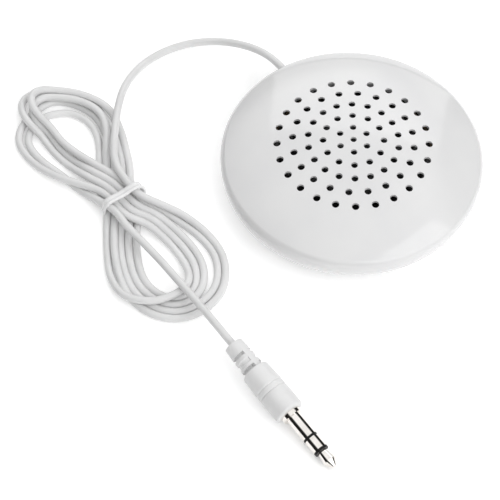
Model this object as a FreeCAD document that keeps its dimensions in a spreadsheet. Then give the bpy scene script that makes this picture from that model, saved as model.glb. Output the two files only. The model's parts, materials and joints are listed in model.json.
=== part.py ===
import FreeCAD, Part
import math
import os
import re
import Sketcher

Vector = FreeCAD.Vector

# Pillow speaker: a domed disc housing, its 40 mm driver, a cord wound into a tied hank, and a 3.5 mm plug.
# The origin is the middle of the housing's base, +Z up, and the cord leaves the seam along +Y.

# Driving dimensions in millimetres, and degrees where the name says slope or turn.
SIZES = {
    # Housing
    "rim_space": 5.1,
    "rear_space": 0.517,
    "shell_wall": 1.5,
    "grille_wall": 0.6,
    "crown_radius": 92.0,
    "crown_set_in": 1.0,
    "rim_radius": 2.0,
    "rim_slope": 31.0,
    "edge_height": 0.2,
    "foot_depth": 0.3,
    "lip_height": 0.9,
    "lip_wall": 0.65,
    "lip_gap": 0.1,
    # Grille
    "grille_margin": 1.1,
    "centre_hole": 1.45,
    "outer_hole": 1.7,
    # Shell screws
    "screw_reach": 2.6,
    "screw_dia": 2.0,
    "screw_head_dia": 3.6,
    "screw_head_height": 1.4,
    "screw_length": 6.0,
    "screw_play": 0.1,
    "boss_dia": 4.6,
    "well_dia": 6.2,
    "well_depth": 4.8,
    "boss_gap": 0.1,
    # Driver
    "driver_dia": 40.0,
    "driver_play": 0.2,
    "rib_wall": 1.2,
    "seat_depth": 1.4,
    "seat_width": 1.4,
    "gasket_height": 0.8,
    "paper_ring_height": 0.8,
    "paper_ring_width": 1.8,
    "film": 0.2,
    "flange_width": 2.1,
    "steel": 0.8,
    "basket_depth": 3.0,
    "window_set_out": 1.7,
    "window_set_in": 2.3,
    "window_width": 5.4,
    "cup_dia": 16.2,
    "cup_wall": 1.0,
    "cup_height": 4.2,
    "magnet_gap": 1.1,
    "plate_lip": 0.2,
    "plate_height": 1.0,
    "coil_gap": 0.3,
    "coil_wall": 0.25,
    "coil_height": 1.8,
    "former_wall": 0.12,
    "former_height": 2.8,
    "cap_rise": 1.2,
    "cone_drop": 0.6,
    "roll_width": 4.7,
    "roll_radius": 3.1,
    "cloth": 0.3,
    "cloth_lap": 0.6,
    "cloth_turn": 290.0,
    "pad_margin": 4.0,
    "pad_height": 1.0,
    "post_width": 3.0,
    "post_depth": 1.6,
    "board_length": 9.0,
    "board_width": 4.6,
    "board_height": 1.0,
    "joint_dia": 1.6,
    "joint_length": 1.8,
    "joint_gap": 0.05,
    "joint_spacing": 5.0,
    # Cord inside the housing
    "cord_dia": 1.8,
    "exit_play": 0.35,
    "cord_bare": 0.2,
    "wire_dia": 0.7,
    "wire_spacing": 0.84,
    "wire_run": 2.2,
    "clamp_gap": 1.1,
    "clamp_spacing": 7.4,
    "clamp_boss_dia": 3.4,
    "clamp_width": 2.8,
    "clamp_height": 1.0,
    "clamp_drop": 0.35,
    "clamp_screw_dia": 1.4,
    "clamp_head_dia": 2.6,
    "clamp_head_height": 0.5,
    "clamp_screw_length": 4.0,
    # Hank and its tie
    "hank_height": 3.5,
    "waist_width": 9.3,
    "waist_height": 5.1,
    "waist_length": 5.0,
    "waist_round": 2.2,
    "tie_middle_across": -49.7,
    "tie_middle_along": 19.6,
    "tie_width": 1.9,
    "tie_thick": 0.45,
    # Plug, measured along its axis from the tip
    "jack_dia": 3.5,
    "tip_length": 4.3,
    "tip_neck_dia": 2.3,
    "tip_bulge_dia": 3.2,
    "tip_nose_dia": 1.2,
    "tip_nose_length": 1.5,
    "insulator_length": 0.6,
    "ring_length": 3.1,
    "sleeve_length": 5.9,
    "flange_dia": 4.8,
    "flange_length": 1.1,
    "rod_dia": 1.1,
    "tube_wall": 0.25,
    "tube_step": 1.2,
    "body_length": 12.8,
    "body_front_dia": 7.1,
    "body_back_dia": 6.6,
    "body_round": 0.6,
    "grip_groove": 0.25,
    "grip_groove_width": 0.7,
    "tail_run": 6.5,
    "relief_slot": 0.9,
    "relief_collar": 2.9,
    "relief_front_dia": 5.3,
    "relief_end_dia": 4.5,
    "relief_neck_dia": 3.2,
    "relief_rib_width": 1.5,
    "relief_round_dia": 1.6,
    "relief_round_depth": 0.45,
    "plug_tip_across": -44.0,
    "plug_tip_along": -64.3,
    "plug_turn": 97.8,
    "plug_roll": 18.0,
}

# Holes in each ring of the grille, from the middle out. Every ring has a hole on +X.
GRILLE_RINGS = (6, 12, 18, 20, 24)

# What fills the housing on its axis, from its base up to the level where the crown ends.
STACK = (
    "shell_wall",
    "pad_height",
    "rear_space",
    "cup_height",
    "basket_depth",
    "film",
    "paper_ring_height",
    "gasket_height",
    "seat_depth",
    "grille_wall",
)

# Angles about the housing's axis of the screws and driver posts, either side of the cord and opposite it.
SCREW_COUNT = 3
SCREW_TURN = 30.0

# The basket has a window at each of these steps about its axis but one, which the terminal board takes.
WINDOW_STEP = 60.0
WINDOW_COUNT = 5
BOARD_TURN = 90.0

# Share of its shorter run that each bend of a cord takes up.
BEND_SHARE = 0.45

# Route of the cord from its clamp in the housing to the tie, and from the tie to the plug.
LEAD_ROUTE = [
    (-1.6, 40.0, 6.0),
    (-6.4, 48.4, 2.6),
    (-14.4, 53.2, 1.0),
    (-24.0, 53.2, 1.1),
    (-32.8, 48.6, 2.9),
    (-38.8, 41.6, 4.8),
    (-43.4, 35.0, 4.6),
    (-47.1, 28.6, 4.5),
]
LEAD_END_ACROSS = -47.1
LEAD_END_HEIGHT = 4.5
TAIL_START_ACROSS = -53.2
TAIL_START_HEIGHT = 4.45
TAIL_ROUTE = [
    (-53.2, 11.8, 4.45),
    (-52.0, 5.6, 4.45),
    (-51.0, -1.0, 4.45),
    (-50.2, -8.6, 4.5),
    (-49.8, -15.6, 5.6),
]

# Plan of the hank, a figure of eight seen from above: its outside and its two openings.
HANK_OUTSIDE = [
    (-54.3, 19.6),
    (-57.4, 25.4),
    (-61.8, 32.6),
    (-64.4, 39.6),
    (-63.4, 47.0),
    (-59.4, 54.2),
    (-54.2, 58.4),
    (-48.4, 57.6),
    (-42.8, 52.8),
    (-39.4, 46.2),
    (-38.6, 38.6),
    (-41.0, 28.6),
    (-45.1, 19.6),
    (-43.2, 14.0),
    (-38.6, 6.6),
    (-36.8, -2.4),
    (-38.8, -11.2),
    (-44.8, -16.4),
    (-51.6, -17.0),
    (-57.4, -12.4),
    (-62.6, -4.4),
    (-61.8, 4.6),
    (-57.2, 13.0),
]
HANK_UPPER_OPENING = [
    (-53.8, 49.6),
    (-49.6, 49.2),
    (-46.0, 45.4),
    (-45.6, 40.0),
    (-48.0, 33.0),
    (-49.6, 34.6),
    (-52.6, 42.6),
]
HANK_LOWER_OPENING = [
    (-49.6, 11.4),
    (-47.0, 7.2),
    (-45.6, 1.2),
    (-47.6, -4.2),
    (-52.8, -7.4),
    (-56.2, -6.4),
    (-55.8, -0.6),
    (-52.6, 6.2),
]

doc = FreeCAD.newDocument("PillowSpeaker")
sheet = doc.addObject("Spreadsheet::Sheet", "Sizes")


def plan_sizes(driving):
    """Sizes seen from above: the housing, its screws and clamp lie round the driver, the windows inside it."""
    driver = driving["driver_dia"] / 2
    cup = driving["cup_dia"] / 2
    basket = driver - driving["flange_width"]
    rib_inner = driver + driving["driver_play"]
    rib_outer = rib_inner + driving["rib_wall"]
    seat_inner = driver - driving["seat_width"]
    clamp_start = rib_outer + driving["clamp_gap"]
    clamp_end = clamp_start + driving["clamp_width"]
    magnet = cup - driving["cup_wall"] - driving["magnet_gap"]
    window_start = cup + driving["window_set_out"]
    window_end = basket - driving["window_set_in"]
    return {
        "rib_inner": rib_inner,
        "rib_outer": rib_outer,
        "seat_inner": seat_inner,
        "crown_reach": driver - driving["crown_set_in"],
        "ring_pitch": (seat_inner - driving["grille_margin"]) / len(GRILLE_RINGS),
        "screw_circle": driver + driving["screw_reach"],
        "clamp_reach": (clamp_start + clamp_end) / 2,
        "cord_end": clamp_start - driving["cord_bare"],
        "housing_dia": (clamp_end + driving["rim_space"]) * 2,
        "magnet_dia": magnet * 2,
        "plate_dia": (magnet + driving["plate_lip"]) * 2,
        "window_start": window_start,
        "window_end": window_end,
        "cloth_start": window_start - driving["cloth_lap"],
        "cloth_end": window_end + driving["cloth_lap"],
        "board_reach": (cup + basket) / 2,
        "pad_dia": (driver - driving["pad_margin"]) * 2,
    }


def dome_sizes(driving, plan):
    """The dome is a flat crown, a steeper shoulder and a small rim, each arc tangent to the next.

    The housing is as high as the driver and what lies above and below it."""
    radius = plan["housing_dia"] / 2
    crown = driving["crown_radius"]
    reach = plan["crown_reach"]
    rim = driving["rim_radius"]
    wall = driving["shell_wall"]
    slope = math.radians(driving["rim_slope"])
    crown_slope = math.asin(reach / crown)
    crown_end = sum(driving[name] for name in STACK)
    height = crown_end + crown * (1 - math.cos(crown_slope))
    rim_reach = radius - rim * (1 - math.sin(slope))
    shoulder = (rim_reach - reach) / (math.sin(slope) - math.sin(crown_slope))
    centre_reach = reach - shoulder * math.sin(crown_slope)
    centre_height = crown_end - shoulder * math.cos(crown_slope)
    rim_start = centre_height + shoulder * math.cos(slope)
    seam = rim_start - rim * math.cos(slope)
    lip_top = seam + driving["lip_height"] + driving["lip_gap"]
    inner = shoulder - wall
    crown_inner = crown - driving["grille_wall"]
    crown_centre = height - crown
    return {
        "housing_height": height,
        "crown_end": crown_end,
        "shoulder_radius": shoulder,
        "rim_reach": rim_reach,
        "rim_start": rim_start,
        "seam": seam,
        "base_round": seam - driving["edge_height"],
        "lip_top": lip_top,
        "lip_reach": centre_reach + math.sqrt(inner ** 2 - (lip_top - centre_height) ** 2),
        "crown_inner": crown_inner,
        "crown_inner_top": height - driving["grille_wall"],
        "seat_top": crown_centre + math.sqrt(crown_inner ** 2 - plan["seat_inner"] ** 2),
        "rib_top": centre_height + math.sqrt(inner ** 2 - (plan["rib_outer"] - centre_reach) ** 2),
        "shoulder_inner": inner,
    }


def driver_levels(driving, plan, dome):
    """The driver hangs from its seat under the dome: each level follows from the one above it."""
    seat = dome["crown_end"] - driving["grille_wall"] - driving["seat_depth"]
    gasket_under = seat - driving["gasket_height"]
    film_top = gasket_under - driving["paper_ring_height"]
    flange_top = film_top - driving["film"]
    flange_under = flange_top - driving["steel"]
    basket_floor = flange_top - driving["basket_depth"]
    cup_base = basket_floor - driving["cup_height"]
    plate_under = basket_floor - driving["plate_height"]
    coil_under = plate_under + driving["plate_height"] / 2 - driving["coil_height"] / 2
    former_inner = plan["plate_dia"] / 2 + driving["coil_gap"]
    former = former_inner + driving["former_wall"]
    return {
        "seat": seat,
        "gasket_under": gasket_under,
        "film_top": film_top,
        "flange_top": flange_top,
        "flange_under": flange_under,
        "basket_floor": basket_floor,
        "basket_under": basket_floor - driving["steel"],
        "cup_base": cup_base,
        "magnet_under": cup_base + driving["cup_wall"],
        "plate_under": plate_under,
        "coil_under": coil_under,
        "former_top": coil_under + driving["former_height"],
        "former_inner": former_inner,
        "former_outer": former,
        "cap_radius": (former ** 2 + driving["cap_rise"] ** 2) / (2 * driving["cap_rise"]),
    }


def plug_stations(driving):
    """Distances along the plug from its tip, and how it lies on its tip and on the front edge of its body."""
    tip_insulator = driving["tip_length"]
    ring = tip_insulator + driving["insulator_length"]
    sleeve_insulator = ring + driving["ring_length"]
    sleeve = sleeve_insulator + driving["insulator_length"]
    flange = sleeve + driving["sleeve_length"]
    body = flange + driving["flange_length"]
    body_back = body + driving["body_length"]
    front_collar = body_back + driving["relief_slot"]
    front_collar_end = front_collar + driving["relief_collar"]
    back_collar = front_collar_end + driving["relief_slot"]
    bulge = driving["tip_bulge_dia"] / 2
    reach = body + driving["body_round"] - driving["tip_nose_length"]
    drop = driving["body_front_dia"] / 2 - driving["body_round"] - bulge
    slope = math.atan2(drop, reach) + math.asin(driving["body_round"] / math.hypot(reach, drop))
    return {
        "tip_insulator_at": tip_insulator,
        "ring_at": ring,
        "sleeve_insulator_at": sleeve_insulator,
        "sleeve_at": sleeve,
        "flange_at": flange,
        "body_at": body,
        "body_end": body_back,
        "front_collar_at": front_collar,
        "front_collar_end": front_collar_end,
        "back_collar_at": back_collar,
        "plug_end": back_collar + driving["relief_collar"],
        "sleeve_tail": body + driving["tube_step"] * 2,
        "ring_tail": body + driving["tube_step"] * 3,
        "rod_tail": body + driving["tube_step"] * 4,
        "plug_slope": math.degrees(slope),
        "plug_tip_height": bulge * math.cos(slope) - driving["tip_nose_length"] * math.sin(slope),
    }


def fill_sheet():
    """Write every size to its cell, with its name as the alias."""
    plan = plan_sizes(SIZES)
    dome = dome_sizes(SIZES, plan)
    rows = dict(SIZES)
    rows.update(plan)
    rows.update(dome)
    rows.update(driver_levels(SIZES, plan, dome))
    rows.update(plug_stations(SIZES))
    for row, (name, number) in enumerate(rows.items(), 1):
        sheet.set("A%d" % row, name)
        sheet.set("B%d" % row, repr(number))
        sheet.setAlias("B%d" % row, name)
    doc.recompute()


def size(name):
    """The number in a named cell."""
    return float(getattr(sheet, name))


def bound(text):
    """A formula in size names, written as an expression on the sheet."""
    return re.sub(r"[a-z][a-z_]*", lambda found: "Sizes." + found.group(), text)


def number(text):
    """The present value of such a formula."""
    return float(sheet.evalExpression(bound(text)))


def new_body(name):
    """An empty body whose label names its file."""
    body = doc.addObject("PartDesign::Body", name)
    body.Label = name
    return body


def new_sketch(body, plane, lift="0"):
    """A sketch on one of the body's own planes, raised along its normal."""
    sketch = body.newObject("Sketcher::SketchObject", body.Name + "_sketch")
    support = [item for item in body.Origin.OriginFeatures if item.Role == plane][0]
    sketch.AttachmentSupport = (support, "")
    sketch.MapMode = "FlatFace"
    if lift != "0":
        sketch.setExpression("AttachmentOffset.Base.z", bound(lift))
    return sketch


def pin_point(sketch, edge, end, across, along):
    """Hold one end of an edge at two formulas, measured from the sketch's origin."""
    for kind, axis, text in (("DistanceX", -2, across), ("DistanceY", -1, along)):
        place = number(text)
        if abs(place) < 1e-9:
            sketch.addConstraint(Sketcher.Constraint("PointOnObject", edge, end, axis))
        else:
            held = sketch.addConstraint(Sketcher.Constraint(kind, -1, 1, edge, end, place))
            sketch.setExpression("Constraints[%d]" % held, bound(text))


def arc_between(first, last, radius, side):
    """The arc of a given radius that bulges to the left (side 1) or the right (side -1) of its chord."""
    chord = last - first
    half = chord.Length / 2
    rise = radius - math.sqrt(radius ** 2 - half ** 2)
    normal = Vector(-chord.y, chord.x, 0).normalize()
    return Part.Arc(first, first + chord * 0.5 + normal * (rise * side), last)


def draw_outline(sketch, corners):
    """Closed outline. A corner is (across, along), and the end of an arc adds (radius, side)."""
    places = [Vector(number(corner[0]), number(corner[1]), 0) for corner in corners]
    ends = []
    for index, corner in enumerate(corners):
        first, last = places[index - 1], places[index]
        if len(corner) == 2:
            edge = sketch.addGeometry(Part.LineSegment(first, last), False)
        else:
            edge = sketch.addGeometry(arc_between(first, last, number(corner[2]), corner[3]), False)
            held = sketch.addConstraint(Sketcher.Constraint("Radius", edge, number(corner[2])))
            sketch.setExpression("Constraints[%d]" % held, bound(corner[2]))
        forward = (sketch.getPoint(edge, 1) - first).Length < (sketch.getPoint(edge, 2) - first).Length
        ends.append((edge, 1, 2) if forward else (edge, 2, 1))
    for index, (edge, start, end) in enumerate(ends):
        following, next_start, next_end = ends[(index + 1) % len(ends)]
        sketch.addConstraint(Sketcher.Constraint("Coincident", edge, end, following, next_start))
        pin_point(sketch, edge, end, corners[index][0], corners[index][1])


def draw_circle(sketch, across, along, diameter):
    """A circle with its middle at two formulas."""
    middle = Vector(number(across), number(along), 0)
    edge = sketch.addGeometry(Part.Circle(middle, Vector(0, 0, 1), number(diameter) / 2), False)
    held = sketch.addConstraint(Sketcher.Constraint("Diameter", edge, number(diameter)))
    sketch.setExpression("Constraints[%d]" % held, bound(diameter))
    pin_point(sketch, edge, 3, across, along)


def revolve(body, corners, turn=None):
    """Turn an outline in the XZ plane about the body's Z axis."""
    sketch = new_sketch(body, "XZ_Plane")
    draw_outline(sketch, corners)
    feature = body.newObject("PartDesign::Revolution", body.Name + "_turned")
    feature.Profile = sketch
    feature.ReferenceAxis = (sketch, ["V_Axis"])
    feature.Angle = 360
    if turn:
        feature.setExpression("Angle", bound(turn))
    return feature


def turned_body(name, corners, turn=None):
    """A body that is one revolved outline."""
    body = new_body(name)
    revolve(body, corners, turn)
    return body


def pad(body, sketch, length):
    """Raise a sketch by a formula."""
    feature = body.newObject("PartDesign::Pad", body.Name + "_pad")
    feature.Profile = sketch
    feature.setExpression("Length", bound(length))
    return feature


def pocket(body, sketch, length, upward=True):
    """Cut a sketch into the body, along its normal or against it."""
    feature = body.newObject("PartDesign::Pocket", body.Name + "_pocket")
    feature.Profile = sketch
    feature.Reversed = upward
    feature.setExpression("Length", bound(length))
    return feature


def repeat_round(body, features, count, angle=360.0):
    """Repeat features about the body's Z axis."""
    axis = [item for item in body.Origin.OriginFeatures if item.Role == "Z_Axis"][0]
    pattern = body.newObject("PartDesign::PolarPattern", body.Name + "_round")
    pattern.Originals = features
    pattern.Axis = (axis, [""])
    pattern.Angle = angle
    pattern.Occurrences = count
    body.Tip = pattern
    return pattern


def turned_about_axis(shape, angle):
    """A copy of a shape turned about the housing's axis."""
    copy = shape.copy()
    copy.rotate(Vector(0, 0, 0), Vector(0, 0, 1), angle)
    return copy


def feature_of(name, shape):
    """A plain feature that holds a finished shape."""
    feature = doc.addObject("Part::Feature", name)
    feature.Label = name
    feature.Shape = shape
    return feature


def top_blank():
    """The dome as a filled block above the seam, with the grille's holes through it."""
    body = new_body("top_blank")
    revolve(body, [
        ("0", "seam"),
        ("housing_dia / 2", "seam"),
        ("rim_reach", "rim_start", "rim_radius", -1),
        ("crown_reach", "crown_end", "shoulder_radius", -1),
        ("0", "housing_height", "crown_radius", -1),
    ])
    sketch = new_sketch(body, "XY_Plane")
    draw_circle(sketch, "0", "0", "centre_hole")
    pocket(body, sketch, "housing_height")
    for ring, count in enumerate(GRILLE_RINGS, 1):
        share = "%d / %d" % (ring, len(GRILLE_RINGS))
        sketch = new_sketch(body, "XY_Plane")
        hole = "centre_hole + (outer_hole - centre_hole) * %s" % share
        draw_circle(sketch, "ring_pitch * %d" % ring, "0", hole)
        repeat_round(body, [pocket(body, sketch, "housing_height")], count)
    return body


def top_cavity():
    """The space inside the dome, which leaves the driver's seat, the rib round it and a rebate at the seam."""
    return turned_body("top_cavity", [
        ("0", "seam"),
        ("housing_dia / 2 - shell_wall + lip_wall + lip_gap", "seam"),
        ("housing_dia / 2 - shell_wall + lip_wall + lip_gap", "lip_top"),
        ("lip_reach", "lip_top"),
        ("rib_outer", "rib_top", "shoulder_inner", -1),
        ("rib_outer", "flange_under"),
        ("rib_inner", "flange_under"),
        ("rib_inner", "seat"),
        ("seat_inner", "seat"),
        ("seat_inner", "seat_top"),
        ("0", "crown_inner_top", "crown_inner", -1),
    ])


def upright(name, diameter, height, reach, turn, foot):
    """A cylinder that stands at a reach and angle from the housing's axis."""
    post = doc.addObject("Part::Cylinder", name)
    post.setExpression("Radius", bound("(%s) / 2" % diameter))
    post.setExpression("Height", bound(height))
    away = Vector(number(reach), 0, number(foot))
    post.Placement = FreeCAD.Placement(Vector(0, 0, 0), FreeCAD.Rotation(Vector(0, 0, 1), turn)).multiply(
        FreeCAD.Placement(away, FreeCAD.Rotation()))
    return post


def fused(name, parts):
    """One object that holds several."""
    joined = doc.addObject("Part::MultiFuse", name)
    joined.Shapes = parts
    return joined


def cut(name, base, tool):
    """One object less another."""
    result = doc.addObject("Part::Cut", name)
    result.Base = base
    result.Tool = tool
    result.Label = name
    return result


def screw_turns():
    """Angles of the three screws."""
    return [SCREW_TURN + 360.0 / SCREW_COUNT * index for index in range(SCREW_COUNT)]


def top_shell():
    """Front shell: the blank less its cavity, which stops at three screw bosses."""
    bosses = [upright("boss_%d" % index, "boss_dia", "housing_height - seam", "screw_circle", turn, "seam")
              for index, turn in enumerate(screw_turns(), 1)]
    pilots = [upright("pilot_%d" % index, "screw_dia + screw_play", "screw_length + screw_play",
                      "screw_circle", turn, "well_depth") for index, turn in enumerate(screw_turns(), 1)]
    hollow = cut("top_hollow", top_cavity(), fused("top_bosses", bosses))
    exit_hole = cord_exit("top_exit")
    return cut("top_shell", cut("top_open", top_blank(), hollow), fused("top_cuts", pilots + [exit_hole]))


def cord_way(name, diameter, inner, outer):
    """A round way for the cord along the seam, between two distances from the housing's axis."""
    way = doc.addObject("Part::Cylinder", name)
    way.setExpression("Radius", bound("(%s) / 2" % diameter))
    way.setExpression("Height", bound("%s - (%s)" % (outer, inner)))
    way.Placement = FreeCAD.Placement(Vector(0, number(inner), size("seam")),
                                      FreeCAD.Rotation(Vector(1, 0, 0), -90))
    return way


def cord_exit(name):
    """The hole that lets the cord out through the wall at the seam, with room for it to bend."""
    return cord_way(name, "cord_dia + exit_play * 2", "housing_dia / 2 - shell_wall * 2 - exit_play",
                    "housing_dia / 2 + shell_wall")


def bottom_shell():
    """Rear shell: a dish with a flat base, screw wells, driver posts and the seat of the cord clamp."""
    foot = "shell_wall - foot_depth"
    body = new_body("bottom_dish")
    revolve(body, [
        ("0", "0"),
        ("housing_dia / 2 - base_round", "0"),
        ("housing_dia / 2", "base_round", "base_round", -1),
        ("housing_dia / 2", "seam"),
        ("housing_dia / 2 - shell_wall + lip_wall", "seam"),
        ("housing_dia / 2 - shell_wall + lip_wall", "seam + lip_height"),
        ("housing_dia / 2 - shell_wall", "seam + lip_height"),
        ("housing_dia / 2 - shell_wall", "base_round"),
        ("housing_dia / 2 - base_round", "shell_wall", "base_round - shell_wall", 1),
        ("0", "shell_wall"),
    ])
    well = new_sketch(body, "XY_Plane", foot)
    draw_circle(well, "screw_circle", "0", "well_dia")
    post = new_sketch(body, "XY_Plane", foot)
    inner = "driver_dia / 2 - post_depth - driver_play"
    outer = "screw_circle - well_dia / 2 + shell_wall / 2"
    draw_outline(post, [
        (inner, "-post_width / 2"),
        (outer, "-post_width / 2"),
        (outer, "post_width / 2"),
        (inner, "post_width / 2"),
    ])
    head = new_sketch(body, "XY_Plane")
    draw_circle(head, "screw_circle", "0", "screw_head_dia + screw_play * 4")
    shank = new_sketch(body, "XY_Plane")
    draw_circle(shank, "screw_circle", "0", "screw_dia + screw_play * 2")
    standing = [
        pad(body, well, "seam - boss_gap - (%s)" % foot),
        pad(body, post, "flange_under - (%s)" % foot),
        pocket(body, head, "well_depth"),
        pocket(body, shank, "seam"),
    ]
    repeat_round(body, standing, SCREW_COUNT)
    saddle = new_sketch(body, "XY_Plane", foot)
    draw_outline(saddle, [
        ("-clamp_spacing / 2", "clamp_reach - clamp_width / 2"),
        ("clamp_spacing / 2", "clamp_reach - clamp_width / 2"),
        ("clamp_spacing / 2", "clamp_reach + clamp_width / 2"),
        ("-clamp_spacing / 2", "clamp_reach + clamp_width / 2"),
    ])
    pad(body, saddle, "seam - (%s)" % foot)
    bosses = new_sketch(body, "XY_Plane", foot)
    draw_circle(bosses, "-clamp_spacing / 2", "clamp_reach", "clamp_boss_dia")
    draw_circle(bosses, "clamp_spacing / 2", "clamp_reach", "clamp_boss_dia")
    pad(body, bosses, "seam + clamp_drop - (%s)" % foot)
    holes = [clamp_hole("clamp_hole_%d" % index, side) for index, side in enumerate((-1, 1), 1)]
    groove = cord_way("saddle_groove", "cord_dia", "cord_end", "clamp_reach + clamp_width / 2")
    return cut("bottom_shell", body, fused("bottom_cuts", holes + [groove, cord_exit("bottom_exit")]))


def clamp_hole(name, side):
    """Hole for one of the clamp's screws."""
    hole = doc.addObject("Part::Cylinder", name)
    hole.setExpression("Radius", bound("clamp_screw_dia / 2 + screw_play / 2"))
    hole.setExpression("Height", bound("clamp_screw_length"))
    under = size("seam") + size("clamp_drop") + size("clamp_height") - size("clamp_screw_length")
    hole.Placement.Base = Vector(side * size("clamp_spacing") / 2, size("clamp_reach"), under)
    return hole


def screw(head_dia, head_height, shank_dia, length):
    """A screw that points up, its head's upper face at height 0, with a cross recess below."""
    point_length = shank_dia / 2
    point_dia = shank_dia / 4
    slot_length = head_dia * 0.7
    slot_width = head_dia / 6
    slot_depth = head_height * 0.6
    straight = length - point_length
    head = Part.makeCylinder(head_dia / 2, head_height, Vector(0, 0, -head_height))
    shank = Part.makeCylinder(shank_dia / 2, straight)
    point = Part.makeCone(shank_dia / 2, point_dia / 2, point_length, Vector(0, 0, straight))
    solid = head.fuse([shank, point])
    for turn in (0, 90):
        slot = Part.makeBox(slot_length, slot_width, slot_depth,
                            Vector(-slot_length / 2, -slot_width / 2, -head_height))
        slot.rotate(Vector(0, 0, 0), Vector(0, 0, 1), turn)
        solid = solid.cut(slot)
    return solid


def shell_screws():
    """Three screws from the rear, heads at the bottom of their wells."""
    one = screw(size("screw_head_dia"), size("screw_head_height"), size("screw_dia"), size("screw_length"))
    one.translate(Vector(size("screw_circle"), 0, size("well_depth")))
    return feature_of("shell_screws", Part.makeCompound([turned_about_axis(one, turn) for turn in screw_turns()]))


def damping_pad():
    """Felt disc on the floor of the rear shell."""
    disc = doc.addObject("Part::Cylinder", "rear_damping_pad")
    disc.setExpression("Radius", bound("pad_dia / 2"))
    disc.setExpression("Height", bound("pad_height"))
    disc.Placement.Base = Vector(0, 0, size("shell_wall"))
    return disc


def driver_frame():
    """Pressed steel basket with windows in its floor, but for the place of the terminal board."""
    body = turned_body("driver_frame", [
        ("cup_dia / 2", "basket_under"),
        ("driver_dia / 2 - flange_width", "basket_under"),
        ("driver_dia / 2 - flange_width", "flange_under"),
        ("driver_dia / 2", "flange_under"),
        ("driver_dia / 2", "flange_top"),
        ("driver_dia / 2 - flange_width - steel", "flange_top"),
        ("driver_dia / 2 - flange_width - steel", "basket_floor"),
        ("cup_dia / 2", "basket_floor"),
    ])
    window = new_sketch(body, "XY_Plane", "basket_under")
    draw_outline(window, [
        ("window_start", "-window_width / 2 * window_start / window_end"),
        ("window_end", "-window_width / 2"),
        ("window_end", "window_width / 2"),
        ("window_start", "window_width / 2 * window_start / window_end"),
    ])
    repeat_round(body, [pocket(body, window, "steel")], WINDOW_COUNT, WINDOW_STEP * (WINDOW_COUNT - 1))
    body.Placement.Rotation = FreeCAD.Rotation(Vector(0, 0, 1), BOARD_TURN + WINDOW_STEP)
    return body


def yoke_cup():
    """Steel cup that closes the magnet's circuit."""
    return turned_body("yoke_cup", [
        ("0", "cup_base"),
        ("cup_dia / 2", "cup_base"),
        ("cup_dia / 2", "basket_floor"),
        ("cup_dia / 2 - cup_wall", "basket_floor"),
        ("cup_dia / 2 - cup_wall", "magnet_under"),
        ("0", "magnet_under"),
    ])


def disc_between(name, diameter, under, over):
    """A plain disc on the axis between two levels."""
    disc = doc.addObject("Part::Cylinder", name)
    disc.setExpression("Radius", bound("%s / 2" % diameter))
    disc.setExpression("Height", bound("%s - %s" % (over, under)))
    disc.setExpression("Placement.Base.z", bound(under))
    return disc


def ring_between(name, inner, outer, under, over, turn=None):
    """A plain ring on the axis between two levels."""
    return turned_body(name, [(inner, under), (outer, under), (outer, over), (inner, over)], turn)


def diaphragm():
    """One moulded film: a cap over the coil, a shallow cone, a rolled surround and a flat edge."""
    roll_end = "driver_dia / 2 - flange_width - steel"
    cone_end = roll_end + " - roll_width"
    cone_top = "flange_top - cone_drop"
    return turned_body("diaphragm", [
        ("0", "former_top + cap_rise"),
        ("former_outer", "former_top", "cap_radius", 1),
        (cone_end, cone_top),
        (roll_end, "flange_top", "roll_radius", 1),
        ("driver_dia / 2", "flange_top"),
        ("driver_dia / 2", "film_top"),
        (roll_end, "film_top"),
        (cone_end, cone_top + " + film", "roll_radius", -1),
        ("former_outer", "former_top + film"),
        ("0", "former_top + film + cap_rise", "cap_radius", -1),
    ])


def vent_cloth():
    """Cloth over the rear windows, open at the terminal board."""
    cloth = ring_between("vent_cloth", "cloth_start", "cloth_end", "basket_under - cloth", "basket_under",
                         "cloth_turn")
    gap_side = BOARD_TURN + (360 - size("cloth_turn")) / 2
    cloth.Placement.Rotation = FreeCAD.Rotation(Vector(0, 0, 1), gap_side)
    return cloth


def terminal_board():
    """Small board on the underside of the basket, nearest the cord."""
    board = doc.addObject("Part::Box", "terminal_board")
    board.setExpression("Length", bound("board_length"))
    board.setExpression("Width", bound("board_width"))
    board.setExpression("Height", bound("board_height"))
    board.setExpression("Placement.Base.x", bound("-board_length / 2"))
    board.setExpression("Placement.Base.y", bound("board_reach - board_width / 2"))
    board.setExpression("Placement.Base.z", bound("basket_under - board_height"))
    return board


def joint_start(side):
    """Where a wire runs into its solder joint, just under the board."""
    under = size("basket_under") - size("board_height") - size("joint_gap") - size("wire_dia") / 2
    return Vector(side * size("joint_spacing") / 2, size("board_reach") + size("joint_length"), under)


def solder_joints():
    """Two lumps of solder that widen along their wires and are flat against the underside of the board."""
    width, length = size("joint_dia"), size("joint_length")
    board_under = size("basket_under") - size("board_height")
    lumps = []
    for side in (-1, 1):
        start = joint_start(side)
        lump = Part.makeCone(size("wire_dia") / 2, width / 2, length, start, Vector(0, -1, 0))
        board = Part.makeBox(width * 2, length * 2, width,
                             Vector(start.x - width, start.y - length * 1.5, board_under))
        lumps.append(lump.cut(board))
    return feature_of("solder_joints", Part.makeCompound(lumps))


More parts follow.
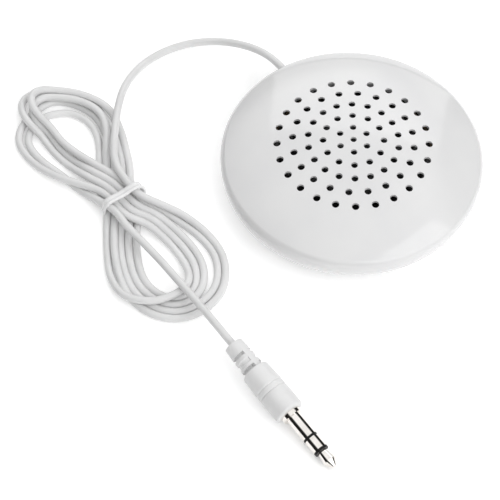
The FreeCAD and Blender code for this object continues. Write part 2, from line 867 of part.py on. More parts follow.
def rounded_route(points):
    """Straight runs joined by tangent arcs, each as large as its two runs allow, and the arcs' radii."""
    corners = [Vector(*point) for point in points]
    edges = []
    radii = []
    start = corners[0]
    for before, corner, after in zip(corners, corners[1:], corners[2:]):
        back = before - corner
        ahead = after - corner
        reach = BEND_SHARE * min(back.Length, ahead.Length)
        back.normalize()
        ahead.normalize()
        turn = math.pi - back.getAngle(ahead)
        radius = reach / math.tan(turn / 2)
        first = corner + back * reach
        last = corner + ahead * reach
        inward = (back + ahead).normalize()
        middle = corner + inward * (math.hypot(reach, radius) - radius)
        edges.append(Part.LineSegment(start, first).toShape())
        edges.append(Part.Arc(first, middle, last).toShape())
        radii.append(radius)
        start = last
    edges.append(Part.LineSegment(start, corners[-1]).toShape())
    return Part.Wire(edges), radii


def tube(name, points, diameter):
    """A round solid along a rounded route, with its least bend and its volume against section times length."""
    path, radii = rounded_route(points)
    first = path.Edges[0]
    along = first.tangentAt(first.FirstParameter)
    section = Part.Wire([Part.makeCircle(diameter / 2, Vector(*points[0]), along)])
    solid = path.makePipeShell([section], True, False)
    expected = math.pi * diameter ** 2 / 4 * path.Length
    print("%s: %.1f mm long, least radius %.1f mm, volume %.4f of section times length"
          % (name, path.Length, min(radii), solid.Volume / expected))
    print("  radii:", " ".join("%.1f" % radius for radius in radii))
    return solid


def lead_wires():
    """Two thin wires from the cord's inner end, down past the basket and level into their solder joints."""
    straight = Vector(0, size("wire_run"), 0)
    wires = []
    for name, side in (("lead_wire_signal", -1), ("lead_wire_return", 1)):
        start = Vector(side * size("wire_spacing") / 2, size("cord_end"), size("seam"))
        end = joint_start(side)
        points = [start, start - straight, end + straight, end]
        wires.append(feature_of(name, tube(name, points, size("wire_dia"))))
    return wires


def cord_clamp():
    """Bar that pinches the cord on its saddle, with rounded ends, a groove and two holes."""
    half = size("clamp_spacing") / 2
    width = size("clamp_width")
    under = size("seam") + size("clamp_drop")
    height = size("clamp_height")
    bar = Part.makeBox(2 * half, width, height, Vector(-half, size("clamp_reach") - width / 2, under))
    ends = []
    holes = [Part.makeCylinder(size("cord_dia") / 2, 2 * width,
                               Vector(0, size("clamp_reach") - width, size("seam")), Vector(0, 1, 0))]
    for side in (-1, 1):
        middle = Vector(side * half, size("clamp_reach"), under)
        ends.append(Part.makeCylinder(width / 2, height, middle))
        holes.append(Part.makeCylinder((size("clamp_screw_dia") + size("screw_play")) / 2, height, middle))
    return feature_of("cord_clamp", bar.fuse(ends).cut(holes))


def clamp_screws():
    """Two small screws, heads up, that hold the clamp down."""
    top = size("seam") + size("clamp_drop") + size("clamp_height")
    screws = []
    for side in (-1, 1):
        one = screw(size("clamp_head_dia"), size("clamp_head_height"), size("clamp_screw_dia"),
                    size("clamp_screw_length"))
        one.rotate(Vector(0, 0, 0), Vector(1, 0, 0), 180)
        one.translate(Vector(side * size("clamp_spacing") / 2, size("clamp_reach"), top))
        screws.append(one)
    return feature_of("clamp_screws", Part.makeCompound(screws))


def cord_lead():
    """The cord from the clamp through the seam and over the hank to its tie."""
    inside = [(0, size("cord_end"), size("seam")), (0, size("housing_dia") / 2 + 1, size("seam"))]
    end = (LEAD_END_ACROSS, size("tie_middle_along") + size("waist_length") / 2, LEAD_END_HEIGHT)
    return feature_of("cord_lead", tube("cord_lead", inside + LEAD_ROUTE + [end], size("cord_dia")))


def cord_tail():
    """The cord from the tie over the lower lobe to the end of the plug's strain relief."""
    start = (TAIL_START_ACROSS, size("tie_middle_along") - size("waist_length") / 2, TAIL_START_HEIGHT)
    ends = [along_plug("plug_end + tail_run").Base, along_plug("plug_end").Base]
    return feature_of("cord_tail", tube("cord_tail", [start] + TAIL_ROUTE + ends, size("cord_dia")))


def closed_curve(points):
    """A smooth closed wire through points in plan."""
    curve = Part.BSplineCurve()
    curve.interpolate([Vector(across, along, 0) for across, along in points], PeriodicFlag=True)
    return Part.Wire([curve.toShape()])


def waist_section(grow):
    """The tied waist as a rounded block, or that block grown by the thickness of the tie."""
    width = size("waist_width") + 2 * grow
    height = size("waist_height") + 2 * grow
    block = Part.makeBox(width, size("waist_length"), height,
                         Vector(size("tie_middle_across") - width / 2,
                                size("tie_middle_along") - size("waist_length") / 2,
                                size("tie_thick") - grow))
    along = [edge for edge in block.Edges if abs(edge.tangentAt(edge.FirstParameter).y) > 0.9]
    return block.makeFillet(size("waist_round") + grow, along)


def cord_hank():
    """The wound figure of eight as one solid: two lobes with their openings and the tied waist."""
    wires = [closed_curve(points) for points in (HANK_OUTSIDE, HANK_UPPER_OPENING, HANK_LOWER_OPENING)]
    plan = Part.makeFace(wires, "Part::FaceMakerBullseye")
    lobes = plan.extrude(Vector(0, 0, size("hank_height")))
    gap = Part.makeBox(size("waist_width") * 2, size("waist_length"), size("hank_height") * 2,
                       Vector(size("tie_middle_across") - size("waist_width"),
                              size("tie_middle_along") - size("waist_length") / 2, 0))
    return feature_of("cord_hank", lobes.cut(gap).fuse(waist_section(0)))


def cord_tie():
    """Flat tie round the waist."""
    slice_box = Part.makeBox(size("waist_width") * 2, size("tie_width"), size("waist_height") * 2,
                             Vector(size("tie_middle_across") - size("waist_width"),
                                    size("tie_middle_along") - size("tie_width") / 2, 0))
    return feature_of("cord_tie", waist_section(size("tie_thick")).cut(waist_section(0)).common(slice_box))


def plug_placement():
    """Where the plug lies: its tip and the front edge of its body touch the ground."""
    roll = FreeCAD.Rotation(Vector(0, 0, 1), size("plug_roll"))
    lean = FreeCAD.Rotation(Vector(0, 1, 0), 90 - size("plug_slope"))
    turn = FreeCAD.Rotation(Vector(0, 0, 1), size("plug_turn"))
    tip = Vector(size("plug_tip_across"), size("plug_tip_along"), size("plug_tip_height"))
    return FreeCAD.Placement(tip, turn.multiply(lean).multiply(roll))


def along_plug(station, across="0", beside="0"):
    """A placement on the plug's axis at a distance from its tip, or off the axis by two formulas."""
    return plug_placement().multiply(
        FreeCAD.Placement(Vector(number(across), number(beside), number(station)), FreeCAD.Rotation()))


def plug_piece(name, corners):
    """A turned piece of the plug, on its axis."""
    body = turned_body(name, corners)
    body.Placement = plug_placement()
    return body


def tip_contact():
    """Bullet tip with its neck, and the rod that runs back into the body."""
    return plug_piece("tip_contact", [
        ("0", "0"),
        ("tip_nose_dia / 2", "0"),
        ("tip_bulge_dia / 2", "tip_nose_length"),
        ("tip_neck_dia / 2", "tip_insulator_at"),
        ("rod_dia / 2", "tip_insulator_at"),
        ("rod_dia / 2", "rod_tail"),
        ("0", "rod_tail"),
    ])


def collared_tube(name, inner, collar, collar_start, collar_end, tail):
    """A tube in the plug with a collar at its front end."""
    outer = inner + " + tube_wall"
    return plug_piece(name, [
        (inner, collar_start),
        (collar, collar_start),
        (collar, collar_end),
        (outer, collar_end),
        (outer, tail),
        (inner, tail),
    ])


def plug_contacts():
    """The concentric pieces of the jack, from the tip back."""
    jack = "jack_dia / 2"
    return [
        tip_contact(),
        collared_tube("tip_insulator", "rod_dia / 2", jack, "tip_insulator_at", "ring_at", "rod_tail - tube_step"),
        collared_tube("ring_contact", "rod_dia / 2 + tube_wall", jack, "ring_at", "sleeve_insulator_at",
                      "ring_tail - tube_step / 2"),
        collared_tube("sleeve_insulator", "rod_dia / 2 + tube_wall * 2", jack, "sleeve_insulator_at", "sleeve_at",
                      "sleeve_tail"),
        plug_piece("sleeve_contact", [
            ("rod_dia / 2 + tube_wall * 3", "sleeve_at"),
            (jack, "sleeve_at"),
            (jack, "flange_at"),
            ("flange_dia / 2", "flange_at"),
            ("flange_dia / 2", "body_at"),
            (jack, "body_at"),
            (jack, "body_at + tube_step"),
            ("rod_dia / 2 + tube_wall * 3", "body_at + tube_step"),
        ]),
    ]


def relief_hollows():
    """Two slots round the strain relief and a shallow round groove between them, all left out at its ribs."""
    slots = [plug_piece(name, [
        ("relief_neck_dia / 2", first),
        ("body_back_dia / 2", first),
        ("body_back_dia / 2", last),
        ("relief_neck_dia / 2", last),
    ]) for name, first, last in (("front_slot", "body_end", "front_collar_at"),
                                 ("back_slot", "front_collar_end", "back_collar_at"))]
    groove = doc.addObject("Part::Torus", "collar_groove")
    groove.setExpression("Radius1", bound("relief_front_dia / 2 + relief_round_dia / 2 - relief_round_depth"))
    groove.setExpression("Radius2", bound("relief_round_dia / 2"))
    groove.Placement = along_plug("(front_collar_at + front_collar_end) / 2")
    ribs = doc.addObject("Part::Box", "relief_ribs")
    ribs.setExpression("Length", bound("body_back_dia * 2"))
    ribs.setExpression("Width", bound("relief_rib_width"))
    ribs.setExpression("Height", bound("relief_slot * 2 + relief_collar"))
    ribs.Placement = along_plug("body_end", "-body_back_dia", "-relief_rib_width / 2")
    return cut("relief_hollows", fused("relief_rings", slots + [groove]), ribs)


def plug_boot(contacts):
    """One moulding round the contacts: the grip with its two grooves, and the slotted strain relief."""
    grip = "(body_at + body_end) / 2 - grip_groove_width"
    moulding = plug_piece("plug_moulding", [
        ("0", "body_at"),
        ("body_front_dia / 2 - body_round", "body_at"),
        ("body_front_dia / 2", "body_at + body_round", "body_round", -1),
        ("body_front_dia / 2", grip),
        ("body_front_dia / 2 - grip_groove", grip + " + grip_groove_width / 2"),
        ("body_front_dia / 2", grip + " + grip_groove_width"),
        ("body_front_dia / 2", grip + " + grip_groove_width * 2"),
        ("body_front_dia / 2 - grip_groove", grip + " + grip_groove_width * 5 / 2"),
        ("body_front_dia / 2", grip + " + grip_groove_width * 3"),
        ("body_back_dia / 2", "body_end - body_round"),
        ("body_back_dia / 2 - body_round", "body_end", "body_round", -1),
        ("relief_front_dia / 2", "body_end"),
        ("relief_end_dia / 2", "plug_end"),
        ("0", "plug_end"),
    ])
    return cut("plug_boot", moulding, fused("plug_cuts", contacts + [relief_hollows()]))


def build():
    """Every piece of the part."""
    contacts = plug_contacts()
    pieces = [
        top_shell(),
        bottom_shell(),
        shell_screws(),
        damping_pad(),
        driver_frame(),
        yoke_cup(),
        disc_between("magnet", "magnet_dia", "magnet_under", "plate_under"),
        disc_between("pole_plate", "plate_dia", "plate_under", "basket_floor"),
        ring_between("coil_former", "former_inner", "former_outer", "coil_under", "former_top"),
        ring_between("voice_coil", "former_outer", "former_outer + coil_wall", "coil_under",
                     "coil_under + coil_height"),
        diaphragm(),
        ring_between("front_ring", "driver_dia / 2 - paper_ring_width", "driver_dia / 2", "film_top",
                     "gasket_under"),
        ring_between("foam_gasket", "seat_inner", "driver_dia / 2", "gasket_under", "seat"),
        vent_cloth(),
        terminal_board(),
        solder_joints(),
        cord_clamp(),
        clamp_screws(),
        cord_lead(),
        cord_hank(),
        cord_tie(),
        cord_tail(),
        plug_boot(contacts),
    ]
    return pieces + lead_wires() + contacts


def check_document():
    """Stop at any object that failed."""
    doc.recompute()
    for item in doc.Objects:
        if "Invalid" in item.State or "Error" in item.State:
            raise RuntimeError("%s is %s" % (item.Label, item.State))


def write_parts(pieces):
    """Write each sub-part to its own file."""
    os.makedirs("parts", exist_ok=True)
    for piece in pieces:
        shape = piece.Shape
        if shape.isNull() or not shape.isValid() or not shape.Solids:
            raise RuntimeError("%s has no valid solid" % piece.Label)
    for piece in pieces:
        piece.Shape.exportStep(os.path.join("parts", piece.Label + ".step"))
        print("%-18s %d solids, %.2f mm3" % (piece.Label, len(piece.Shape.Solids), piece.Shape.Volume))


fill_sheet()
parts = build()
check_document()
write_parts(parts)
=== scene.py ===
import json
import math
import bpy
from mathutils import Matrix, Vector


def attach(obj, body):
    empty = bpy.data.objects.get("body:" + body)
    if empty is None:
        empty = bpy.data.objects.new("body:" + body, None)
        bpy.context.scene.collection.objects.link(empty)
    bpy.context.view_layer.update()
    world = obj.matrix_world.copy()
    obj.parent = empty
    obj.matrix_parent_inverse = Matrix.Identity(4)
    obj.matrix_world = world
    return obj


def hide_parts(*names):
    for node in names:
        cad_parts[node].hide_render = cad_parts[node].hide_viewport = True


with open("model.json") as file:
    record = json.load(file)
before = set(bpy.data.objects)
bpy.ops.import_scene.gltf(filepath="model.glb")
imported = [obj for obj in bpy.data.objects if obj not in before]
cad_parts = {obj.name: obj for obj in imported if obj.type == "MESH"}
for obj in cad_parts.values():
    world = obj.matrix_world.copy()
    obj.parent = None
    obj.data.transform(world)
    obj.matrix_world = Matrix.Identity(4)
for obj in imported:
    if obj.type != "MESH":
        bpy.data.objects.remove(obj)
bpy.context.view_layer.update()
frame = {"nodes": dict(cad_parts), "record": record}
nodes = frame["nodes"]

MM = 0.001

# The camera looks down at a point of the floor beside the housing: lengths in mm, angles in degrees
VIEW_POINT = (-30.384, -5.421, 0.0)
VIEW_DISTANCE = 704.14
VIEW_AZIMUTH = -123.0
VIEW_ELEVATION = 56.27
VIEW_ROLL = 2.67
LENS = 220.7
SENSOR_WIDTH = 36.0
# The nearest and the furthest that it sees, in metres
SEEN_FROM = 0.05
SEEN_TO = 20.0

# A white sky that turns dark near the horizon and far out along X, which gives round metal its dark bands
SKY_STRENGTH = 1.1
SKY_DARK = (0.02, 0.02, 0.02, 1)
SKY_LIGHT = (1, 1, 1, 1)
# Heights on the sky, and then ways out along X, each as a share of the sky's radius
SKY_DARK_BELOW = 0.2
SKY_LIGHT_ABOVE = 0.45
SKY_LIGHT_TO_SIDE = 0.55
SKY_DARK_FROM_SIDE = 0.72

# Two large lamps: the place and the side in metres, and the power in watts
LAMPS = {
    "near_lamp": ((0.25, -0.9, 0.62), 1.2, 6.2),
    "rear_lamp": ((0.6, 0.8, 0.5), 1.0, 3.2),
}

# The floor: from its middle to its edge in metres, and how strongly it glows
FLOOR_REACH = 3.0
FLOOR_GLOW = 0.22

# The cord, in mm, then the steps of its curve from point to point and how finely its section is rounded
CORD_DIAMETER = 1.8
CORD_STEPS = 6
CORD_ROUNDNESS = 5

# From the clamp to the tie
LEAD_ROUTE = [
    (0.0, 22.3, 8.203),
    (0.0, 31.4, 8.203),
    (-1.6, 40.0, 6.0),
    (-6.4, 48.4, 2.6),
    (-14.4, 53.2, 1.0),
    (-24.0, 53.2, 1.1),
    (-32.8, 48.6, 2.9),
    (-38.8, 41.6, 4.8),
    (-43.4, 35.0, 4.6),
    (-47.1, 28.6, 4.6),
    (-47.1, 22.1, 4.75),
]

# From the tie to the plug
TAIL_ROUTE = [
    (-53.2, 17.1, 4.45),
    (-53.2, 11.8, 4.45),
    (-52.0, 5.6, 4.45),
    (-51.0, -1.0, 4.45),
    (-50.2, -8.6, 4.5),
    (-49.8, -15.6, 5.6),
    (-49.7176, -22.5608, 6.9919),
    (-48.8431, -28.9445, 6.1349),
]

# Stations round the hank's loops: x and y in mm, and the direction in degrees that offsets follow
LOWER_STATIONS = [
    (-49.7, 19.6, 5),
    (-49.0, 15.6, 18),
    (-47.2, 11.6, 24),
    (-44.2, 7.0, 20),
    (-42.2, 1.5, 5),
    (-42.0, -4.0, -10),
    (-43.9, -9.3, -40),
    (-48.2, -12.0, -75),
    (-53.2, -11.4, -110),
    (-57.2, -8.0, -140),
    (-59.2, -3.0, -170),
    (-59.0, 2.4, -195),
    (-57.0, 8.0, -203),
    (-54.2, 13.0, -208),
    (-51.4, 16.6, -210),
]
RIGHT_STATIONS = [
    (-49.7, 19.6, -15),
    (-49.6, 22.6, -12),
    (-48.5, 26.0, -25),
    (-46.4, 29.6, -26),
    (-44.6, 33.4, -22),
    (-42.5, 38.6, -10),
    (-41.9, 44.6, 8),
    (-44.4, 50.4, 40),
    (-48.8, 53.4, 72),
]
LEFT_STATIONS = [
    (-59.2, 46.0, 172),
    (-58.9, 40.4, 190),
    (-57.0, 34.4, 206),
    (-54.2, 28.8, 208),
    (-51.8, 24.4, 198),
]

# The strands: for each station, the offset and the height of the strand's middle, in mm
LOWER_STRANDS = {
    "R1": [
        (-2.3, 3.1), (-2.4, 3.0), (-0.9, 2.6), (-2.1, 1.2), (-3.3, 0.95),
        (-3.8, 1.1), (-4.2, 2.3), (-3.9, 2.6), (-2.6, 2.8), (0.6, 2.9),
        (3.7, 2.6), (3.5, 0.95), (3.0, 0.95), (3.1, 0.95), (3.7, 1.15),
    ],
    "R2": [
        (-0.5, 3.1), (-0.5, 3.0), (0.9, 2.6), (-0.3, 1.2), (-1.3, 0.95),
        (-1.8, 0.95), (-2.5, 0.95), (-2.6, 0.95), (-2.4, 0.95), (-2.9, 0.95),
        (-3.3, 0.95), (-3.6, 0.95), (-3.8, 0.95), (-3.7, 0.95), (-3.7, 1.15),
    ],
    "R3": [
        (1.3, 3.15), (1.35, 3.1), (2.7, 2.3), (1.6, 1.0), (0.6, 0.95),
        (0.1, 0.95), (-0.7, 0.95), (-0.8, 0.95), (-0.5, 0.95), (-1.0, 0.95),
        (-1.5, 0.95), (-1.8, 0.95), (-1.9, 0.95), (-1.9, 0.95), (-1.85, 1.15),
    ],
    "R4": [
        (3.1, 3.15), (3.2, 3.0), (4.6, 1.7), (3.9, 0.95), (3.7, 0.95),
        (3.6, 0.95), (2.2, 0.95), (1.2, 0.95), (1.4, 0.95), (0.9, 0.95),
        (0.4, 0.95), (-0.1, 0.95), (-0.1, 0.95), (-0.1, 0.95), (0.0, 1.15),
    ],
    "R5": [
        (2.6, 5.0), (3.3, 4.7), (4.7, 3.6), (5.3, 2.3), (5.5, 1.2),
        (5.4, 0.95), (4.2, 0.95), (3.2, 0.95), (3.3, 0.95), (2.8, 0.95),
        (2.2, 0.95), (1.5, 1.8), (1.4, 2.0), (1.4, 2.0), (1.85, 1.15),
    ],
}
RIGHT_STRANDS = {
    "T4": [
        (-3.7, 1.35), (-3.7, 1.1), (-3.6, 0.95), (-3.6, 0.95), (-3.1, 0.95),
        (-2.9, 0.95), (-3.1, 0.95), (-3.6, 0.95), (-3.9, 0.95),
    ],
    "T3": [
        (0.0, 1.35), (0.0, 1.1), (0.0, 0.95), (0.1, 0.95), (-0.3, 0.95),
        (-0.9, 0.95), (-0.8, 0.95), (-0.9, 0.95), (-0.1, 0.95),
    ],
    "T5": [
        (1.85, 1.35), (1.85, 1.1), (1.85, 0.95), (1.9, 0.95), (1.5, 0.95),
        (0.95, 0.95), (1.0, 0.95), (1.5, 0.95), (2.7, 0.95),
    ],
    "T2": [
        (-1.85, 1.35), (-1.85, 1.1), (-1.8, 0.95), (-1.8, 0.95), (-1.7, 2.6),
        (-0.6, 2.75), (0.1, 2.75), (-0.6, 2.75), (-0.4, 2.75),
    ],
    "T1": [
        (3.7, 1.35), (3.7, 1.1), (3.8, 0.95), (3.7, 0.95), (3.2, 0.95),
        (2.8, 0.95), (2.7, 2.3), (1.3, 2.8), (1.6, 2.9),
    ],
}
LEFT_STRANDS = {
    "T4": [(1.6, 0.95), (1.6, 0.95), (1.2, 0.95), (2.5, 0.95), (3.3, 2.2)],
    "T3": [(3.6, 0.95), (3.5, 1.0), (3.0, 2.3), (1.9, 2.9), (1.1, 3.0)],
    "T5": [(-2.3, 1.7), (-2.2, 0.95), (-1.8, 0.95), (-0.8, 2.6), (-0.7, 3.0)],
    "T2": [(-4.3, 1.5), (-4.1, 0.95), (-3.7, 0.95), (-2.6, 2.8), (-2.5, 3.0)],
    "T1": [(-4.9, 3.2), (-4.9, 2.75), (-4.7, 2.9), (-4.4, 3.1), (-4.4, 2.85)],
}

# Where the strands turn at the far end of the upper loop, from its right side to its left
CORNERS = {
    "T4": [(-53.0, 50.5, 0.95), (-56.9, 49.6, 0.95)],
    "T3": [(-52.4, 53.5, 0.95), (-56.4, 52.4, 0.95), (-60.2, 50.2, 0.95)],
    "T5": [
        (-51.4, 57.8, 0.95),
        (-54.6, 57.6, 1.1),
        (-57.0, 55.6, 2.0),
        (-58.1, 52.6, 2.8),
        (-58.1, 49.0, 2.9),
    ],
    "T2": [(-51.8, 54.6, 2.75), (-54.4, 54.0, 2.75), (-56.0, 51.9, 2.75), (-56.3, 49.0, 2.75)],
    "T1": [(-51.0, 56.3, 3.4), (-53.9, 55.7, 4.5), (-55.5, 53.3, 4.7), (-55.7, 50.2, 4.5)],
}

# The turns in the order in which the cord is wound: a strand of the lower loop, then one of the upper loop
TURNS = [("R5", "T2"), ("R3", "T5"), ("R2", "T1"), ("R4", "T3"), ("R1", "T4")]

# The tie, in mm: y of its middle, then x and z of its outline round the strands, from the lower left on
TIE_MIDDLE_ALONG = 19.6
TIE_OUTLINE = [
    (-54.3, 0.8),
    (-54.9, 2.0),
    (-54.7, 3.9),
    (-53.6, 5.0),
    (-51.6, 5.1),
    (-49.4, 5.3),
    (-47.6, 6.0),
    (-45.9, 6.1),
    (-44.8, 4.9),
    (-44.5, 3.0),
    (-44.9, 1.1),
    (-46.4, 0.7),
    (-49.7, 0.65),
    (-52.8, 0.65),
]
# Its section: how far along the strands and how far out, in mm, with the ridge of its wire near one edge
TIE_SECTION = [
    (1.0, -0.1),
    (1.0, 0.08),
    (0.92, 0.2),
    (0.2, 0.24),
    (-0.25, 0.3),
    (-0.45, 0.52),
    (-0.75, 0.6),
    (-1.0, 0.44),
    (-1.05, 0.1),
    (-0.95, -0.1),
]
# The steps of its line from one point of the outline to the next
TIE_STEPS = 8

# The noise of every surface: how finely it is broken up, and between which values the two colours blend
DRIFT_DETAIL = 3.0
GRAIN_DETAIL = 2.0
BLEND_START = 0.35
BLEND_END = 0.65

# How each material slot of the record looks, with sizes in mm and some shader values under their own names
FINISHES = {
    "shell_plastic": dict(
        dark=(0.70, 0.70, 0.705), light=(0.73, 0.73, 0.73), rough=(0.08, 0.15),
        size=14.0, fine=1.5, bump=0.004, Coat_Weight=0.3, Coat_Roughness=0.04,
    ),
    "plug_plastic": dict(
        dark=(0.71, 0.71, 0.71), light=(0.75, 0.75, 0.75), rough=(0.34, 0.46),
        size=5.0, fine=0.3, bump=0.008,
    ),
    "cord_jacket": dict(
        dark=(0.68, 0.68, 0.68), light=(0.72, 0.72, 0.72), rough=(0.3, 0.42),
        size=5.0, fine=0.5, bump=0.01,
    ),
    "tie_plastic": dict(
        dark=(0.80, 0.80, 0.80), light=(0.84, 0.84, 0.84), rough=(0.2, 0.32),
        size=3.0, fine=0.4, bump=0.01,
    ),
    "zinc_steel": dict(
        dark=(0.50, 0.50, 0.48), light=(0.62, 0.62, 0.59), rough=(0.26, 0.42),
        size=2.0, fine=0.2, bump=0.004, metal=1.0,
    ),
    "dark_felt": dict(
        dark=(0.006, 0.006, 0.006), light=(0.02, 0.02, 0.02), rough=(0.85, 1.0),
        size=1.2, fine=0.15, bump=0.06,
    ),
    "magnet_metal": dict(
        dark=(0.60, 0.60, 0.60), light=(0.72, 0.72, 0.71), rough=(0.1, 0.2),
        size=3.0, fine=0.3, bump=0.002, metal=1.0,
    ),
    "former_paper": dict(
        dark=(0.28, 0.20, 0.12), light=(0.38, 0.29, 0.19), rough=(0.7, 0.9),
        size=1.5, fine=0.15, bump=0.02,
    ),
    "copper": dict(
        dark=(0.50, 0.19, 0.08), light=(0.66, 0.28, 0.13), rough=(0.25, 0.4),
        size=2.0, fine=0.2, bump=0.03, metal=1.0, stretch=(0.05, 0.05, 1),
    ),
    "clear_film": dict(
        dark=(0.012, 0.012, 0.014), light=(0.022, 0.022, 0.025), rough=(0.18, 0.3),
        size=4.0, fine=0.6, bump=0.004,
    ),
    "black_foam": dict(
        dark=(0.012, 0.012, 0.012), light=(0.03, 0.03, 0.03), rough=(0.85, 1.0),
        size=0.8, fine=0.2, bump=0.08,
    ),
    "board_brown": dict(
        dark=(0.22, 0.11, 0.045), light=(0.31, 0.17, 0.08), rough=(0.45, 0.6),
        size=2.0, fine=0.2, bump=0.006,
    ),
    "solder": dict(
        dark=(0.58, 0.58, 0.60), light=(0.72, 0.72, 0.74), rough=(0.15, 0.32),
        size=0.8, fine=0.2, bump=0.01, metal=1.0,
    ),
    "wire_red": dict(
        dark=(0.45, 0.03, 0.02), light=(0.56, 0.045, 0.035), rough=(0.35, 0.5),
        size=3.0, fine=0.3, bump=0.004,
    ),
    "wire_black": dict(
        dark=(0.015, 0.015, 0.015), light=(0.03, 0.03, 0.03), rough=(0.35, 0.5),
        size=3.0, fine=0.3, bump=0.004,
    ),
    "plated_contact": dict(
        dark=(0.78, 0.75, 0.71), light=(0.87, 0.84, 0.81), rough=(0.05, 0.12),
        size=2.5, fine=0.25, bump=0.001, metal=1.0,
    ),
    "black_insulator": dict(
        dark=(0.008, 0.008, 0.008), light=(0.016, 0.016, 0.016), rough=(0.3, 0.45),
        size=1.0, fine=0.15, bump=0.003, Specular_IOR_Level=0.2,
    ),
}

# How the floor looks
FLOOR_FINISH = dict(
    dark=(0.93, 0.93, 0.93), light=(0.95, 0.95, 0.95), rough=(0.7, 0.9),
    size=60.0, fine=2.0, Emission_Color=(1, 1, 1, 1), Emission_Strength=FLOOR_GLOW,
)


def metres(point):
    """A point in metres from one in mm."""
    return tuple(value * MM for value in point)


def scene_object(name, data):
    """A new object of the scene."""
    item = bpy.data.objects.new(name, data)
    bpy.context.scene.collection.objects.link(item)
    return item


def strand_points(stations, strand):
    """The points of one strand of a loop, in mm: each lies at its offset from its station."""
    points = []
    for (x, y, direction), (offset, height) in zip(stations, strand):
        angle = math.radians(direction)
        points.append((x + offset * math.cos(angle), y + offset * math.sin(angle), height))
    return points


def hank_points():
    """The hank's turns, one after the other: each goes round the lower loop and then the upper one."""
    points = []
    for lower, upper in TURNS:
        points += strand_points(LOWER_STATIONS, LOWER_STRANDS[lower])
        points += strand_points(RIGHT_STATIONS, RIGHT_STRANDS[upper])
        points += CORNERS[upper]
        points += strand_points(LEFT_STATIONS, LEFT_STRANDS[upper])
    return points


def cord_curve(name, points, diameter):
    """A round cord along one smooth line, with these points, in mm, as its control points."""
    data = bpy.data.curves.new(name, "CURVE")
    data.dimensions = "3D"
    data.resolution_u = CORD_STEPS
    data.bevel_depth = diameter * MM / 2
    data.bevel_resolution = CORD_ROUNDNESS
    spline = data.splines.new("NURBS")
    spline.points.add(len(points) - 1)
    for control, point in zip(spline.points, points):
        control.co = metres(point) + (1.0,)
    spline.order_u = 3
    spline.use_endpoint_u = True
    return scene_object(name, data)


def tie_band(name):
    """The tie as one closed band. Its line is the smooth closed curve of its outline's points."""
    count = len(TIE_OUTLINE)
    rings = []
    for index in range(count):
        before, here, after = (Vector(TIE_OUTLINE[(index + step) % count]) for step in (-1, 0, 1))
        for part in range(TIE_STEPS):
            share = part / TIE_STEPS
            rest = 1 - share
            place = (before * rest ** 2 + here * (1 + 2 * share * rest) + after * share ** 2) / 2
            along = (here - before) * rest + (after - here) * share
            outward = Vector((-along.y, along.x)).normalized()
            rings.append([
                (place.x + outward.x * out, TIE_MIDDLE_ALONG + aside, place.y + outward.y * out)
                for aside, out in TIE_SECTION
            ])
    points = [metres(point) for ring in rings for point in ring]
    wide = len(TIE_SECTION)
    faces = []
    for ring in range(len(rings)):
        following = (ring + 1) % len(rings)
        for side in range(wide):
            beside = (side + 1) % wide
            faces.append((
                ring * wide + side,
                ring * wide + beside,
                following * wide + beside,
                following * wide + side,
            ))
    mesh = bpy.data.meshes.new(name)
    mesh.from_pydata(points, [], faces)
    mesh.validate()
    mesh.shade_smooth()
    return scene_object(name, mesh)


def shader_node(tree, kind, **settings):
    """A new node of a material or of the sky, with these settings."""
    node = tree.nodes.new(kind)
    for name, value in settings.items():
        setattr(node, name, value)
    return node


def colour_ramp(tree, start, start_colour, end, end_colour):
    """One colour up to the start, another from the end on, and a blend between them."""
    ramp = shader_node(tree, "ShaderNodeValToRGB")
    ramp.color_ramp.elements[0].position = start
    ramp.color_ramp.elements[0].color = start_colour
    ramp.color_ramp.elements[1].position = end
    ramp.color_ramp.elements[1].color = end_colour
    return ramp


def noise_node(tree, size, detail, stretch):
    """Noise with features of a size in mm, longer along an axis where its stretch is under 1."""
    place = shader_node(tree, "ShaderNodeTexCoord")
    scale = shader_node(tree, "ShaderNodeMapping")
    scale.inputs["Scale"].default_value = stretch
    noise = shader_node(tree, "ShaderNodeTexNoise")
    noise.inputs["Scale"].default_value = 1 / (size * MM)
    noise.inputs["Detail"].default_value = detail
    tree.links.new(place.outputs["Object"], scale.inputs["Vector"])
    tree.links.new(scale.outputs["Vector"], noise.inputs["Vector"])
    return noise


def surface(name, dark, light, rough, size, fine, bump=0.0, metal=0.0, stretch=(1, 1, 1), **more):
    """A surface whose colour drifts between two colours, and whose roughness varies with its grain.

    size and fine are those of the drift and of the grain, and bump is the grain's height, all in mm.
    Any further value goes to the shader's socket of its name."""
    material = bpy.data.materials.new(name)
    material.use_nodes = True
    tree = material.node_tree
    shader = tree.nodes["Principled BSDF"]
    shader.inputs["Metallic"].default_value = metal
    for socket, value in more.items():
        shader.inputs[socket.replace("_", " ")].default_value = value
    drift = noise_node(tree, size, DRIFT_DETAIL, stretch)
    ramp = colour_ramp(tree, BLEND_START, dark + (1.0,), BLEND_END, light + (1.0,))
    tree.links.new(drift.outputs["Fac"], ramp.inputs["Fac"])
    tree.links.new(ramp.outputs["Color"], shader.inputs["Base Color"])
    grain = noise_node(tree, fine, GRAIN_DETAIL, stretch)
    spread = shader_node(tree, "ShaderNodeMapRange")
    spread.inputs["To Min"].default_value = rough[0]
    spread.inputs["To Max"].default_value = rough[1]
    tree.links.new(grain.outputs["Fac"], spread.inputs["Value"])
    tree.links.new(spread.outputs["Result"], shader.inputs["Roughness"])
    if bump:
        relief = shader_node(tree, "ShaderNodeBump")
        relief.inputs["Distance"].default_value = bump * MM
        tree.links.new(grain.outputs["Fac"], relief.inputs["Height"])
        tree.links.new(relief.outputs["Normal"], shader.inputs["Normal"])
    return material


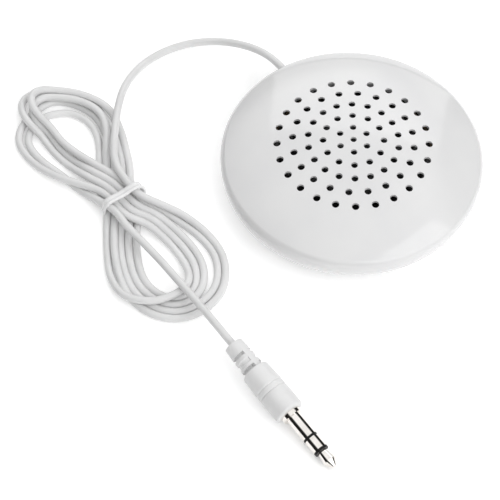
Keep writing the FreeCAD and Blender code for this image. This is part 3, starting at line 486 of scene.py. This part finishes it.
def set_camera():
    """The camera looks at its point from a distance, turned a little about its own line of sight."""
    azimuth, elevation = math.radians(VIEW_AZIMUTH), math.radians(VIEW_ELEVATION)
    towards = Vector((
        math.cos(azimuth) * math.cos(elevation),
        math.sin(azimuth) * math.cos(elevation),
        math.sin(elevation),
    ))
    data = bpy.data.cameras.new("camera")
    data.lens = LENS
    data.sensor_width = SENSOR_WIDTH
    data.clip_start = SEEN_FROM
    data.clip_end = SEEN_TO
    camera = scene_object("camera", data)
    upright = (-towards).to_track_quat("-Z", "Y").to_matrix()
    roll = Matrix.Rotation(math.radians(VIEW_ROLL), 3, "Z")
    place = Vector(metres(VIEW_POINT)) + towards * VIEW_DISTANCE * MM
    camera.matrix_world = Matrix.Translation(place) @ (upright @ roll).to_4x4()
    bpy.context.scene.camera = camera


def sky():
    """Soft light from above, and dark low down and at the two sides."""
    world = bpy.data.worlds.new("world")
    world.use_nodes = True
    tree = world.node_tree
    place = shader_node(tree, "ShaderNodeTexCoord")
    split = shader_node(tree, "ShaderNodeSeparateXYZ")
    aside = shader_node(tree, "ShaderNodeMath", operation="ABSOLUTE")
    height_ramp = colour_ramp(tree, SKY_DARK_BELOW, SKY_DARK, SKY_LIGHT_ABOVE, SKY_LIGHT)
    side_ramp = colour_ramp(tree, SKY_LIGHT_TO_SIDE, SKY_LIGHT, SKY_DARK_FROM_SIDE, SKY_DARK)
    both = shader_node(tree, "ShaderNodeVectorMath", operation="MULTIPLY")
    tree.links.new(place.outputs["Generated"], split.inputs["Vector"])
    tree.links.new(split.outputs["Z"], height_ramp.inputs["Fac"])
    tree.links.new(split.outputs["X"], aside.inputs[0])
    tree.links.new(aside.outputs["Value"], side_ramp.inputs["Fac"])
    tree.links.new(height_ramp.outputs["Color"], both.inputs[0])
    tree.links.new(side_ramp.outputs["Color"], both.inputs[1])
    tree.links.new(both.outputs["Vector"], tree.nodes["Background"].inputs["Color"])
    tree.nodes["Background"].inputs["Strength"].default_value = SKY_STRENGTH
    bpy.context.scene.world = world


def softbox(name, place, size, power):
    """A square lamp that faces the point at which the camera looks."""
    lamp = bpy.data.lights.new(name, "AREA")
    lamp.energy = power
    lamp.size = size
    box = scene_object(name, lamp)
    box.location = place
    box.rotation_euler = (Vector(metres(VIEW_POINT)) - box.location).to_track_quat("-Z", "Y").to_euler()


def pale_floor():
    """A wide white sheet under the object, which glows a little, as a light table does."""
    reach = FLOOR_REACH
    corners = [(-reach, -reach, 0), (reach, -reach, 0), (reach, reach, 0), (-reach, reach, 0)]
    mesh = bpy.data.meshes.new("floor")
    mesh.from_pydata(corners, [], [(0, 1, 2, 3)])
    floor = scene_object("floor", mesh)
    floor.data.materials.append(surface("floor", **FLOOR_FINISH))


set_camera()
materials = {slot: surface(slot, **finish) for slot, finish in FINISHES.items()}
for part in frame["record"]["subparts"]:
    node = nodes[part["node"]]
    node.data.materials.clear()
    node.data.materials.append(materials[part["material_slot"]])

cord = cord_curve("cord", LEAD_ROUTE + hank_points() + TAIL_ROUTE, CORD_DIAMETER)
cord.data.materials.append(materials["cord_jacket"])
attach(cord, "root")
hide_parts("cord_lead", "cord_hank", "cord_tail")

tie = tie_band("tie_band")
tie.data.materials.append(materials["tie_plastic"])
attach(tie, "root")
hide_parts("cord_tie")

pale_floor()
sky()
for name, (place, size, power) in LAMPS.items():
    softbox(name, place, size, power)
bpy.context.scene.view_settings.view_transform = "Standard"
